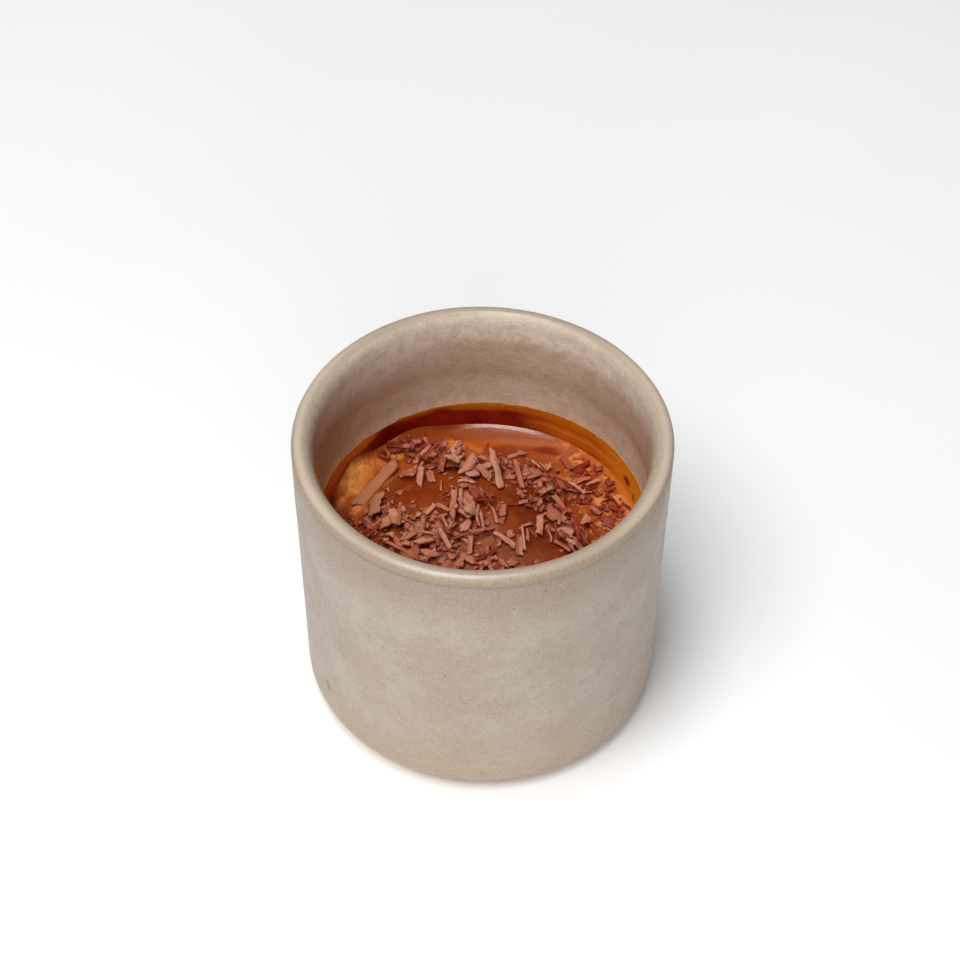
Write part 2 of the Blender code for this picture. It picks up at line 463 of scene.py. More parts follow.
# A fine grain, and iron burnt through as flecks, large and small, between pale ones.
grain = glaze.drift(Size=0.0005, Low=0.34, High=0.66)
grain_share = glaze.minus(0.13, glaze.times(lip_top, 0.07))
grain_colour = glaze.node("CombineColor", grain, grain, grain).outputs[0]
glaze.colour = glaze.mix(grain_share, glaze.colour, grain_colour, "SOFT_LIGHT")
iron = glaze.flecks(Spacing=0.0042, Radius=0.00026, Share=0.4)
glaze.paint(iron, (98, 78, 60), 0.7)
fine_iron = glaze.flecks(Spacing=0.0014, Radius=0.00021, Share=0.8)
glaze.paint(fine_iron, (122, 102, 82), 0.45)
pale = glaze.flecks(Spacing=0.0019, Radius=0.00024, Share=0.5)
glaze.paint(pale, (218, 205, 188), 0.45)
nick_lies = {"Centre": (-0.0335, -0.0200, 0.0130), "Size": (0.0009, 0.0009, 0.0017), "Turn": 0.5}
nick = glaze.patch(**nick_lies, Wander=0.0002, Grain=0.002, Softness=0.2)
glaze.paint(nick, (128, 100, 78), 0.6)
# The foot ring is bare clay, dry and dull. The rest is satin, smoothest on the lip.
bare = glaze.step(height, 0.6 * MM, 0.2 * MM)
glaze.paint(bare, (176, 142, 112))
glaze.wire(glaze.colour, "Base Color")
sheen = glaze.between(glaze.drift(Size=0.009, Low=0.3, High=0.7), 0.38, 0.5)
sheen = glaze.minus(sheen, glaze.times(lip_top, 0.12))
glaze.wire(glaze.maths("MAXIMUM", sheen, glaze.times(bare, 0.9)), "Roughness")
ripple = glaze.minus(1.0, glaze.times(lip_top, 0.75))
dimples = glaze.drift(Size=0.0025, Detail=2.0, Low=0.2, High=0.8)
glaze.raised((glaze.times(dimples, ripple), 0.00004), (glaze.times(grain, ripple), 0.00003))
cup.data.materials.append(glaze.material)
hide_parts("cup")
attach(cup, "root")

# ---------------------------------------------------------------------------------------------
# The scoop: one ball of ice cream, slumped on the cup's floor and melting. Its crown stands
# out of the drink, smooth and stained brown by the espresso that was poured over it.
# ---------------------------------------------------------------------------------------------

SCOOP_CENTRE = Vector((-2.2, -1.6, 26.0)) * MM
SCOOP_RADIUS = 31.3 * MM
SCOOP_RISE = 21.0 * MM
SCOOP_DEPTH = 30.0 * MM
SCOOP_SLUMP = 0.8
SCOOP_UNEVEN = 0.018
SKIN = 0.3 * MM


def swelling(azimuth, up):
    wave = math.sin(2.0 * azimuth + 0.7 + 1.9 * up)
    wave += 0.6 * math.sin(3.0 * azimuth - 1.1 - 2.6 * up)
    wave += 0.4 * math.sin(5.0 * azimuth + 2.3 + 3.7 * up)
    return wave / 2.0


scoop = begin("melting_scoop", bpy.ops.mesh.primitive_ico_sphere_add, subdivisions=7, radius=1.0)
for vertex in scoop.data.vertices:
    x, y, up = vertex.co
    reach = SCOOP_RADIUS * (1.0 + SCOOP_UNEVEN * swelling(math.atan2(y, x), up) * (1.0 - up * up))
    z = up**SCOOP_SLUMP * SCOOP_RISE if up > 0.0 else up * SCOOP_DEPTH
    spot = SCOOP_CENTRE + Vector((x * reach, y * reach, z))
    lumps = noise.fractal(spot / (9 * MM), 1.0, 2.0, 4) * 0.35 * MM
    lumps += noise.noise(spot / (2.2 * MM)) * 0.08 * MM
    vertex.co = spot + vertex.co.normalized() * (lumps - 0.1 * MM)
bpy.ops.object.mode_set(mode="EDIT")
bpy.ops.mesh.select_all(action="SELECT")
bpy.ops.mesh.bisect(plane_co=(0, 0, FLOOR + SKIN), plane_no=(0, 0, -1), use_fill=True, clear_outer=True)
bpy.ops.object.mode_set(mode="OBJECT")
bpy.ops.object.shade_smooth()

# Light goes a little way into ice cream, crema and chocolate, and comes out redder.
soft_inside = {
    "Subsurface_Weight": 0.35,
    "Subsurface_Radius": (1.0, 0.22, 0.06),
    "Subsurface_Scale": 1.2 * MM,
}
melt = Finish("stained_ice_cream", 0.45, Specular_IOR_Level=0.15, **soft_inside)
clouded = melt.drift(Size=0.011, Low=0.35, High=0.65)
melt.colour = melt.mix(clouded, (124, 46, 6), (138, 58, 12))
MELT_PATCHES = (
    # centre, half length, half width, wander (mm), colour, strength: front, right side, orange, creamy
    ((2, -12, 45), 12, 8, 2, (136, 68, 40), 0.8),
    ((12, 2, 45), 8, 10, 2, (106, 34, 8), 0.6),
    ((5.2, -1.5, 46), 2.8, 4.2, 1, (146, 60, 20), 0.7),
    ((1.4, -4, 46), 1.7, 4.8, 1.2, (154, 90, 62), 0.8),
)
for centre, half_length, half_width, wander, shade, strength in MELT_PATCHES:
    melt.paint(melt.oval(centre, half_length, half_width, Wander=wander * MM), shade, strength)
# Milk shows through in wisps, and crema laps it at the right and round its foot.
milky = melt.drift(Size=0.0026, Detail=5.0, Low=0.5, High=0.7, Shift=0.2)
melt.paint(milky, (156, 80, 40), 0.42)
across, _, height = melt.xyz(melt.spot())
lapped = melt.drift(Size=0.006, Detail=4.0, Low=0.3, High=0.7, Shift=0.9)
lapped = melt.plus(height, melt.times(lapped, 0.006))
lapped = melt.step(lapped, 0.0450, 0.0425)
lapped = melt.times(lapped, melt.step(across, 0.006, 0.016))
melt.paint(lapped, (172, 80, 26), 0.8)
foot_of_scoop = melt.step(height, 0.0415, 0.0385)
melt.paint(foot_of_scoop, (160, 74, 22), 0.5)
melt.wire(melt.colour, "Base Color")
wet = melt.drift(Size=0.006, Low=0.35, High=0.65, Shift=0.5)
melt.wire(melt.between(wet, 0.34, 0.6), "Roughness")
pits = melt.drift(Size=0.0014, Low=0.2, High=0.8)
grain = melt.drift(Size=0.0004, Detail=2.0, Low=0.2, High=0.8)
melt.raised((pits, 0.0001), (grain, 0.00003))
scoop.data.materials.append(melt.material)
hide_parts("ice_cream")
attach(scoop, "root")

# ---------------------------------------------------------------------------------------------
# The drink: espresso and melted ice cream round the scoop, up to just over half the cup. A
# thin crema floats on it, orange where it is thick and marbled brown where it has broken.
# The drink climbs a little at the wall and at the scoop.
# ---------------------------------------------------------------------------------------------

DRINK_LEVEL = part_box("espresso")[1][2] - 0.8 * MM
BANKS = (
    # foam that has drifted against the wall: x, y, turn (degrees), height, length, width (mm)
    (-29.0, 21.0, 56, 2.9, 6.0, 5.0),
    (-16.5, 31.5, 28, 1.7, 7.5, 2.6),
)
WALL_CLIMB, WALL_CLIMB_REACH = 0.9 * MM, 1.1 * MM
SCOOP_CLIMB, SCOOP_CLIMB_REACH = 0.7 * MM, 1.0 * MM
INTO_WALL = 0.6 * MM  # hidden in the cup's wall, so that no gap shows
DRINK_RING = 0.4 * MM  # how far apart the rings of its surface are

drink_edge = wall_inside(DRINK_LEVEL) + INTO_WALL
drink_outline = [(0.0, FLOOR + SKIN), (inner_corner_r, FLOOR + SKIN)]
drink_outline += arc((inner_corner_r, inner_corner_z), FLOOR_CORNER - SKIN, -90, 0, 8)[1:]
drink_outline += [(drink_edge, DRINK_LEVEL - 4 * MM), (drink_edge, DRINK_LEVEL)]
drink_rings = round(drink_edge / DRINK_RING)
drink_outline += [(drink_edge * (1.0 - i / drink_rings), DRINK_LEVEL) for i in range(1, drink_rings + 1)]
drink = throw("espresso_drink", drink_outline)


def surface_of(piece):
    """A piece's surface, to find the nearest point on it or where a ray lands."""
    mesh = piece.data
    return BVHTree.FromPolygons([v.co for v in mesh.vertices], [face.vertices for face in mesh.polygons])


scoop_surface = surface_of(scoop)
for vertex in drink.data.vertices:
    if vertex.co.z < DRINK_LEVEL - 0.5 * MM:
        continue
    spot = vertex.co
    from_wall = wall_inside(DRINK_LEVEL) - math.hypot(spot.x, spot.y)
    rise = WALL_CLIMB * math.exp(-max(from_wall, 0.0) / WALL_CLIMB_REACH)
    away = scoop_surface.find_nearest(spot, 6 * MM)[3]
    if away is not None:
        rise += SCOOP_CLIMB * math.exp(-away / SCOOP_CLIMB_REACH)
    foam = noise.fractal(Vector((spot.x, spot.y, 0.0)) / (3.5 * MM), 1.0, 2.0, 3) * 0.09 * MM
    for x, y, turn, height, length, width in BANKS:
        from_bank = Matrix.Rotation(math.radians(-turn), 3, "Z") @ (spot - Vector((x, y, 0.0)) * MM)
        off_bank = math.hypot(from_bank.x / length, from_bank.y / width) / MM
        rise += height * MM * math.exp(-(off_bank**2)) * (1.0 + 0.1 * noise.noise(spot / (4 * MM)))
    spot.z += rise + foam * ease(from_wall / (3 * MM))

crema = Finish("crema", 0.22, Specular_IOR_Level=0.1, Coat_Roughness=0.16, **soft_inside)
clouded = crema.drift(Size=0.007, Detail=4.0, Low=0.38, High=0.62)
crema.colour = crema.mix(clouded, (150, 70, 20), (168, 86, 32))
CREMA_PATCHES = (
    # centre x, y, half length, half width (mm), turn (degrees), colour, strength, wander (mm)
    (6, 32.5, 14, 3.4, -3, (152, 76, 44), 0.95, 0.6),
    (-13, 33.5, 11, 2.0, 20, (126, 50, 18), 0.9, 0.8),
    (-10.5, 30.5, 6, 2.4, 5, (146, 62, 12), 0.95, 0.8),
    (-7.8, 29.5, 3.0, 0.9, 15, (202, 114, 46), 0.9, 0.7),
    (-3, 28.8, 4.5, 0.7, -25, (210, 130, 78), 0.85, 0.8),
    (0, 29, 5, 1.6, -5, (178, 82, 18), 0.8, 0.8),
    (9, 30, 7, 1.0, -4, (176, 98, 58), 0.6, 0.6),
    (5, 26.7, 4.5, 2.0, 0, (128, 52, 16), 0.85, 0.7),
    (15.5, 27.3, 4.5, 1.2, -8, (120, 42, 14), 0.95, 0.3),
    (22, 26, 6, 2.2, -30, (200, 120, 66), 0.85, 0.8),
    (27, 17, 9, 4.5, -60, (184, 98, 42), 0.9, 1.2),
    (30, 5, 14, 5.0, 85, (188, 102, 46), 0.95, 1.2),
    (-28.6, 16, 9.0, 2.9, 66, (240, 146, 62), 1.0, 0.5),
    (-27.6, 19.0, 4.5, 1.7, 74, (253, 180, 96), 0.85, 0.8),
    (-22, 25, 5.5, 2.6, 32, (238, 144, 66), 0.95, 0.6),
    (-28.7, 11.2, 2.2, 1.5, 30, (186, 70, 22), 0.8, 0.6),
    (-27.6, 8.6, 2.4, 1.1, 60, (220, 136, 72), 0.85, 0.5),
    # The next is dark coffee with no crema by the left wall, with painted shade from the wall.
    (-31.2, 5.5, 4.5, 2.4, 78, (112, 44, 8), 0.9, 0.6),
    (-27.0, 2.5, 4.0, 2.2, 75, (186, 84, 24), 0.8, 1.2),
    (-28.5, -4.5, 5.5, 1.5, 118, (226, 118, 34), 0.9, 0.6),
)
for x, y, half_length, half_width, turn, shade, strength, wander in CREMA_PATCHES:
    centre = (x, y, DRINK_LEVEL / MM)
    spread = crema.oval(centre, half_length, half_width, turn, Wander=wander * MM, Grain=0.005)
    crema.paint(spread, shade, strength)
# At both sides it has broken into veins, dark and pale.
spot = crema.spot()
across, along, _ = crema.xyz(spot)
swirl = crema.node("TexNoise", spot, None, 220.0, 3.0)
swirl_shift = crema.node("VectorMath", swirl.outputs["Color"], operation="SCALE")
swirl_shift.inputs["Scale"].default_value = 0.009
swirled = crema.vectors("ADD", spot, swirl_shift.outputs[0])
veins = crema.node("TexNoise", swirled, None, 330.0, 4.0, 0.55).outputs[0]
on_right = crema.step(across, 0.014, 0.022)
on_left = crema.step(across, -0.018, -0.024)
broken = crema.plus(on_right, crema.times(on_left, 0.3))
dark_veins = crema.times(crema.step(veins, 0.50, 0.56), broken)
crema.paint(dark_veins, (134, 46, 12), 0.8)
pale_veins = crema.times(crema.step(veins, 0.475, 0.42), broken)
crema.paint(pale_veins, (212, 144, 86), 0.65)
# Against the wall it is thin and amber at the right. At the left, by the wall, it is painted dark brown:
# painted shade from the wall, and at the front also coffee with no crema.
rim_wander = crema.times(crema.drift(Size=0.005, Low=0.2, High=0.8), 0.0018)
radius = crema.plus(crema.off_axis(spot), rim_wander)
at_wall = crema.step(radius, 0.0342, 0.0358)
amber_edge = crema.times(at_wall, crema.step(across, 0.016, 0.028))
crema.paint(amber_edge, (184, 98, 28))
further_back = crema.step(along, 0.0175, 0.0215)
in_shade = crema.step(radius, 0.0344, 0.0360)
in_shade = crema.times(in_shade, crema.times(further_back, on_left))
crema.paint(in_shade, (130, 46, 4), 0.9)
# Painted shade at the front left by the wall, over dark coffee with no crema.
further_front = crema.step(along, 0.0155, 0.0115)
dark_wall = crema.step(radius, 0.0338, 0.0350)
dark_edge = crema.times(dark_wall, crema.times(further_front, on_left))
crema.paint(dark_edge, (112, 44, 8))
# The foam at the left is streaked.
upright = crema.node("Mapping", spot)
upright.inputs["Scale"].default_value = (1.0, 0.5, 0.35)
streaks = crema.node("TexNoise", upright.outputs[0], None, 900.0, 3.0, 0.6).outputs[0]
streaks = crema.times(crema.step(streaks, 0.5, 0.62), on_left)
crema.paint(streaks, (180, 84, 30), 0.55)
crema.wire(crema.colour, "Base Color")
# The middle is liquid and glossy, and the foam at the sides duller.
wet = crema.between(crema.drift(Size=0.004, Low=0.4, High=0.6, Shift=0.7), 0.14, 0.34)
foamy = crema.maths("MAXIMUM", on_left, on_right)
crema.wire(crema.plus(wet, crema.times(foamy, 0.3)), "Roughness")
crema.wire(crema.minus(0.6, crema.times(foamy, 0.55)), "Coat Weight")
bubbles = crema.drift(Size=0.0011, Low=0.2, High=0.8)
crema.raised((veins, 0.00012), (bubbles, 0.00006))
drink.data.materials.append(crema.material)
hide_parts("espresso")
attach(drink, "root")

# ---------------------------------------------------------------------------------------------
# The film on the wall: coffee that stood higher when it was poured and left a thin skin on the
# glaze, amber at its ragged upper edge and dark red-brown below. It is a skin lifted off the
# cup's own wall, so it follows every ridge.
# ---------------------------------------------------------------------------------------------

FILM_TOP = DRINK_LEVEL + 7.3 * MM
FILM_FOOT = DRINK_LEVEL - 0.6 * MM
FILM_LIFT, FILM_THICKNESS = 0.1 * MM, 0.12 * MM

film = cup.copy()
film.data = cup.data.copy()
film.name = film.data.name = "coffee_film"
film.data.materials.clear()
bpy.context.collection.objects.link(film)
bpy.ops.object.select_all(action="DESELECT")
film.select_set(True)
bpy.context.view_layer.objects.active = film
bpy.ops.object.mode_set(mode="EDIT")
bpy.ops.mesh.select_mode(type="FACE")
bpy.ops.mesh.select_all(action="SELECT")
bpy.ops.mesh.bisect(plane_co=(0, 0, FILM_TOP), plane_no=(0, 0, 1), clear_outer=True)
bpy.ops.mesh.select_all(action="SELECT")
bpy.ops.mesh.bisect(plane_co=(0, 0, FILM_FOOT), plane_no=(0, 0, 1), clear_inner=True)
bpy.ops.mesh.select_all(action="DESELECT")
skin = bmesh.from_edit_mesh(film.data)
for face in skin.faces:
    middle = face.calc_center_median()
    face.select = math.hypot(middle.x, middle.y) > CUP_RADIUS - 3 * MM
bmesh.update_edit_mesh(film.data)
bpy.ops.mesh.delete(type="FACE")
bpy.ops.mesh.select_all(action="SELECT")
bpy.ops.transform.shrink_fatten(value=FILM_LIFT)
bpy.ops.mesh.subdivide(number_cuts=1)
bpy.ops.object.mode_set(mode="OBJECT")
for vertex in film.data.vertices:
    azimuth = math.atan2(vertex.co.y, vertex.co.x)
    round_wall = Vector((math.cos(azimuth), math.sin(azimuth), 0.0))
    ragged = 0.35 * MM * noise.fractal(round_wall * 7.0, 1.0, 2.0, 3)
    ragged += 0.18 * MM * noise.noise(round_wall * 60.0)
    ragged += 0.5 * MM * ease(vertex.co.x / (0.6 * CUP_RADIUS))
    ragged -= 0.6 * MM * ease(-vertex.co.x / (0.6 * CUP_RADIUS))
    vertex.co.z += ragged * ease((vertex.co.z - DRINK_LEVEL) / (FILM_TOP - DRINK_LEVEL))
press(film, "SOLIDIFY", thickness=FILM_THICKNESS, offset=-1.0)

stain = Finish("coffee_skin", 0.3, Specular_IOR_Level=0.3)
across, _, height = stain.xyz(stain.spot())
wander = stain.times(stain.drift(Size=0.007, Low=0.2, High=0.8), 0.0012)
higher_right = stain.times(stain.step(across, 0.0, 0.024), 0.0005)
height = stain.minus(stain.plus(height, wander), higher_right)
height = stain.node("MapRange", height, DRINK_LEVEL + 0.6 * MM, FILM_TOP + 0.6 * MM).outputs[0]
# Dark red-brown below and amber above, where the skin dries thinner.
dark_part = stain.mix(stain.drift(Size=0.006, Low=0.35, High=0.65), (116, 7, 0), (136, 24, 2))
thinner_left = stain.times(stain.step(across, 0.004, -0.020), 0.12)
wider_left = stain.times(stain.step(across, -0.022, -0.029), 0.3)
amber_height = stain.plus(stain.minus(height, thinner_left), wider_left)
amber = stain.step(amber_height, 0.64, 0.84)
stain.colour = stain.mix(amber, dark_part, (178, 86, 6))
# At the right it is golden, with a band for each level that the coffee stood at.
right_film = stain.mix(stain.step(height, 0.05, 0.25), (166, 68, 8), (194, 98, 10))
for low, high, shade, strength in (
    (0.38, 0.50, (224, 134, 44), 0.6),
    (0.60, 0.68, (160, 66, 8), 0.7),
    (0.78, 0.90, (204, 114, 10), 0.5),
):
    middle, half = (low + high) / 2.0, (high - low) / 2.0
    off_line = stain.maths("ABSOLUTE", stain.minus(height, middle))
    line = stain.times(stain.step(off_line, half * 1.4, half * 0.4), strength)
    right_film = stain.mix(line, right_film, shade)
far_right = stain.step(across, 0.024, 0.032)
right_film = stain.mix(stain.times(far_right, 0.9), right_film, (232, 140, 26))
stain.paint(stain.step(across, 0.006, 0.019), right_film)
# At the left it is brown below and orange above, painted lighter where the wall shades it: painted light.
shaded_side = stain.step(across, -0.024, -0.031)
left_film = stain.mix(stain.step(height, 0.35, 0.8), (160, 56, 6), (226, 118, 14))
left_film = stain.mix(stain.step(across, -0.030, -0.0335), left_film, (206, 96, 8))
left_amber = stain.times(amber, stain.step(across, -0.021, -0.027))
left_share = stain.maths("MAXIMUM", left_amber, stain.times(shaded_side, 0.85))
stain.paint(left_share, left_film)
# Its top edge is paler, and specks and splashes of coffee lie darker on it.
top_edge = stain.step(height, 0.86, 0.98)
stain.paint(top_edge, (194, 128, 30), 0.6)
specks = stain.flecks(Spacing=0.006, Radius=0.0005, Share=0.2)
stain.paint(specks, (110, 40, 4), 0.6)
SPLASHES = (
    # azimuth (degrees), height, half width, half height (mm)
    (25, 42.2, 1.5, 1.1),
    (19, 40.4, 0.6, 1.5),
    (162, 40.6, 0.6, 0.7),
)
FILM_RADIUS = 35.6  # mm from the axis
for azimuth, z, half_width, half_height in SPLASHES:
    way = math.radians(azimuth)
    centre = Vector((FILM_RADIUS * math.cos(way), FILM_RADIUS * math.sin(way), z)) * MM
    size = Vector((0.8, half_width, half_height)) * MM
    speck = stain.patch(Centre=centre, Size=size, Turn=way, Wander=0.0004, Grain=0.0012)
    stain.paint(speck, (110, 36, 4))
stain.wire(stain.colour, "Base Color")
dried = stain.drift(Size=0.003, Low=0.3, High=0.7)
stain.wire(stain.between(dried, 0.24, 0.42), "Roughness")
stain.raised((stain.drift(Size=0.0016, Low=0.2, High=0.8), 0.00005))
film.data.materials.append(stain.material)
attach(film, "root")

# ---------------------------------------------------------------------------------------------
# The chocolate: a bar of milk chocolate shaved with a knife over the scoop. It falls as planks,
# strips, broad flakes, chips, thin slivers and crumbs, about 0.3 mm thick. A few of each kind
# are modelled here, copied, laid on one another where they fall, and joined by kind.
# ---------------------------------------------------------------------------------------------

chance = random.Random(41)


def shave(name, length, width, cells, thickness, gutter, arch, twist, corners, tear):
    """One shaving lying along X: cut across its ends, torn there and at its sides, then bent.

    Its size and bend come from ranges in mm, and its twist, in degrees, is up to the one given."""
    length, width = chance.uniform(*length) * MM, chance.uniform(*width) * MM
    gutter = chance.uniform(*gutter) * chance.choice((-1, 1)) * MM
    arch = chance.uniform(*arch) * chance.choice((-1, 1)) * MM
    twist = math.radians(chance.uniform(-twist, twist))
    tear *= MM
    add_grid = bpy.ops.mesh.primitive_grid_add
    piece = begin(name, add_grid, x_subdivisions=cells[0], y_subdivisions=cells[1], size=1.0)
    bpy.ops.object.mode_set(mode="EDIT")
    bpy.ops.transform.resize(value=(length, width, 1.0))
    cuts = []
    for end in (0.0, math.pi):
        cuts.append((end + chance.uniform(-0.7, 0.7), 0.5 * length - chance.uniform(0.1, 0.5) * width))
    for _ in range(corners):
        facing = chance.uniform(0.0, math.tau)
        reach = abs(math.cos(facing)) * length + abs(math.sin(facing)) * width
        cuts.append((facing, reach * chance.uniform(0.3, 0.42)))
    for facing, reach in cuts:
        outward = (math.cos(facing), math.sin(facing), 0.0)
        bpy.ops.mesh.select_all(action="SELECT")
        bpy.ops.mesh.bisect(
            plane_co=(outward[0] * reach, outward[1] * reach, 0.0), plane_no=outward, clear_outer=True
        )
    bpy.ops.object.mode_set(mode="OBJECT")
    seed = chance.uniform(0.0, 50.0)
    for vertex in piece.data.vertices:
        x, y, z = vertex.co
        end, side = min(abs(2.0 * x / length), 1.0), min(abs(2.0 * y / width), 1.0)
        x += end**3 * noise.noise(Vector((y / (0.45 * MM), seed, math.copysign(3.0, x)))) * 5.0 * tear
        y += side**3 * noise.noise(Vector((x / (0.9 * MM), seed, math.copysign(3.0, y)))) * 2.5 * tear
        z += noise.noise(Vector((x / (2.5 * MM), y / (0.35 * MM), seed))) * 0.06 * MM
        z += noise.noise(Vector((x / (1.3 * MM), y / (1.0 * MM), seed + 9.0))) * tear
        y, z = gutter * math.sin(y / gutter), z + gutter * (1.0 - math.cos(y / gutter))
        z += x * x / (2.0 * arch)
        turn = twist * x / length
        vertex.co = (x, y * math.cos(turn) - z * math.sin(turn), y * math.sin(turn) + z * math.cos(turn))
    texture_map = piece.data.uv_layers.active.data
    for corner in texture_map:
        corner.uv = (corner.uv[0] * length / MM, corner.uv[1] * width / MM)
    faces_on = Counter(edge for face in piece.data.polygons for edge in face.edge_keys)
    broken = {vertex for edge, faces in faces_on.items() if faces == 1 for vertex in edge}
    # Marks each shaving's edge, where it is painted darker and redder as painted shade and light through the
    # thin edge.
    record(piece, "painted_edge_shade", [float(i in broken) for i in range(len(piece.data.vertices))])
    press(piece, "SOLIDIFY", thickness=thickness * MM, offset=0.0)
    bpy.ops.object.shade_smooth_by_angle(angle=math.radians(35))
    return piece


def crumble(name, size):
    """A crumb: a block knocked off square by three cuts."""
    piece = begin(name, bpy.ops.mesh.primitive_cube_add, size=size)
    bpy.ops.object.mode_set(mode="EDIT")
    bpy.ops.transform.resize(value=(1.0, chance.uniform(0.5, 0.9), chance.uniform(0.3, 0.6)))
    for _ in range(3):
        way = Vector([chance.uniform(-1.0, 1.0) for _ in range(3)]).normalized()
        bpy.ops.mesh.select_all(action="SELECT")
        bpy.ops.mesh.bisect(plane_co=way * size * 0.27, plane_no=way, use_fill=True, clear_outer=True)
    bpy.ops.object.mode_set(mode="OBJECT")
    return piece


SHAVING_KINDS = {
    # name, count, length, width, cells, thickness, gutter across, arch along, twist, corners cut off, tear
    "planks": ("plank", 8, (5, 8), (1.5, 2.2), (20, 8), 0.24, (0.9, 2.4), (7, 30), 30, 1, 0.14),
    "strips": ("strip", 8, (5, 9), (0.9, 1.4), (20, 5), 0.22, (0.5, 1.5), (5, 20), 50, 0, 0.11),
    "flakes": ("flake", 8, (3.5, 5.5), (2.4, 3.8), (16, 12), 0.23, (1.4, 4), (4, 12), 35, 3, 0.22),
    "chips": ("chip", 8, (1.8, 3), (1.0, 1.9), (6, 4), 0.22, (0.7, 2.2), (1.8, 6), 35, 1, 0.15),
    "slivers": ("sliver", 6, (3, 6), (0.45, 0.8), (9, 1), 0.22, (1, 2), (5, 14), 40, 0, 0.1),
}
shaved = {}
for kind, (name, count, *form) in SHAVING_KINDS.items():
    shaved[kind] = [shave(name, *form) for _ in range(count)]
shaved["crumbs"] = [crumble("crumb", 1.0 * MM) for _ in range(6)]
shaving_points = {}
for kind, shavings in shaved.items():
    shaving_points[kind] = [np.array([v.co for v in shaving.data.vertices]) for shaving in shavings]

# The top of the scoop and drink, as heights on a fine square grid. Each shaving laid raises it.
CELL = 0.25 * MM
GRID_REACH = 36 * MM
grid_count = round(2.0 * GRID_REACH / CELL) + 1
surfaces = (surface_of(drink), scoop_surface)
ground = np.full((grid_count, grid_count), DRINK_LEVEL)
for i in range(grid_count):
    for j in range(grid_count):
        above = Vector((i * CELL - GRID_REACH, j * CELL - GRID_REACH, CUP_HEIGHT))
        for surface in surfaces:
            landing = surface.ray_cast(above, Vector((0, 0, -1)), CUP_HEIGHT - DRINK_LEVEL)[0]
            if landing is not None:
                ground[i, j] = max(ground[i, j], landing.z)
bare_ground = ground.copy()
STEEPEST = math.tan(math.radians(38))
SINK = 0.12 * MM
laid = {kind: [] for kind in shaved}


def cells_under(points):
    found = np.clip(np.rint((points[:, :2] + GRID_REACH) / CELL).astype(int), 0, grid_count - 1)
    return found[:, 0], found[:, 1]


def lay(kind, x, y, heading, length=None, width=None, lean=8.0, soak_and_shade=0.0, highest=3.5, forward=0.0):
    """Lays a copy of one shaving at x, y (mm) on whatever is there, and raises the ground by it."""
    index = chance.randrange(len(shaved[kind]))
    local = shaving_points[kind][index]
    spread = local.max(axis=0) - local.min(axis=0)
    along = length * MM / spread[0] if length else chance.uniform(0.75, 1.2)
    across = width * MM / spread[1] if width else chance.uniform(0.8, 1.2)
    if kind == "crumbs":
        across = along = chance.uniform(0.35, 1.0)
    scale = Matrix.Diagonal((along, across, along if kind == "crumbs" else 1.0, 1.0))
    turned = Matrix.Rotation(math.radians(heading + chance.uniform(-4, 4)), 4, "Z")
    flat = np.array((turned @ scale).to_3x3())
    here = np.array((x * MM, y * MM, 0.0))
    footprint = local @ flat.T + here
    too_far = np.hypot(footprint[:, 0], footprint[:, 1]).max() - (wall_inside(DRINK_LEVEL) - 0.4 * MM)
    if too_far > 0.0:
        here[:2] -= here[:2] / np.hypot(here[0], here[1]) * too_far
        footprint = local @ flat.T + here
    below = ground[cells_under(footprint)]
    sides = np.column_stack((footprint[:, :2] - here[:2], np.ones(len(footprint))))
    weight = np.ones(len(footprint))
    for _ in range(4):
        slope = np.linalg.lstsq(sides * weight[:, None], below * weight, rcond=None)[0]
        weight = np.where(below > sides @ slope, 2.5, 1.0)
    steepness = math.hypot(slope[0], slope[1])
    gentler = min(1.0, STEEPEST / max(steepness, 0.01))
    up = Vector((-slope[0] * gentler, -slope[1] * gentler - forward, 1.0)).normalized()
    tip = Matrix.Rotation(math.radians(chance.gauss(0.0, lean)), 4, "X")
    pitch = Matrix.Rotation(math.radians(chance.gauss(0.0, lean * 0.4)), 4, "Y")
    settled = Vector((0, 0, 1)).rotation_difference(up).to_matrix().to_4x4()
    pose = settled @ turned @ pitch @ tip @ scale
    placed = local @ np.array(pose.to_3x3()).T + here
    under = cells_under(placed)
    drop = (placed[:, 2] - ground[under]).min() + SINK
    placed[:, 2] -= drop
    if (placed[:, 2] - bare_ground[under]).max() > highest * MM:
        return
    for step_x, step_y in ((0, 0), (1, 0), (0, 1), (1, 1)):
        cells = (np.minimum(under[0] + step_x, grid_count - 1), np.minimum(under[1] + step_y, grid_count - 1))
        np.maximum.at(ground, cells, placed[:, 2])
    shaving = shaved[kind][index].copy()
    shaving.data = shaving.data.copy()
    pose.translation = Vector((here[0], here[1], -drop))
    shaving.data.transform(pose)
    shift = (chance.uniform(0, 90), chance.uniform(0, 90))
    if shaving.data.uv_layers:
        for corner in shaving.data.uv_layers.active.data:
            corner.uv = (corner.uv[0] * along + shift[0], corner.uv[1] * across + shift[1])
    lightness = min(max(chance.gauss(0.66 if length else 0.5, 0.25), 0.0), 1.0)
    record(shaving, "tone", np.full(len(local), lightness))
    # Low-lying parts are soaked, and are painted darker and redder there as painted shade in the gaps under
    # and between pieces.
    height_over = (placed[:, 2] - bare_ground[under]) / (0.5 * MM)
    soaked = (0.3 if length else 0.7) * np.clip(0.7 - height_over, 0.0, 1.0)
    record(shaving, "soak_and_shade", np.clip(soak_and_shade + soaked, 0.0, 1.0))
    bpy.context.collection.objects.link(shaving)
    laid[kind].append(shaving)


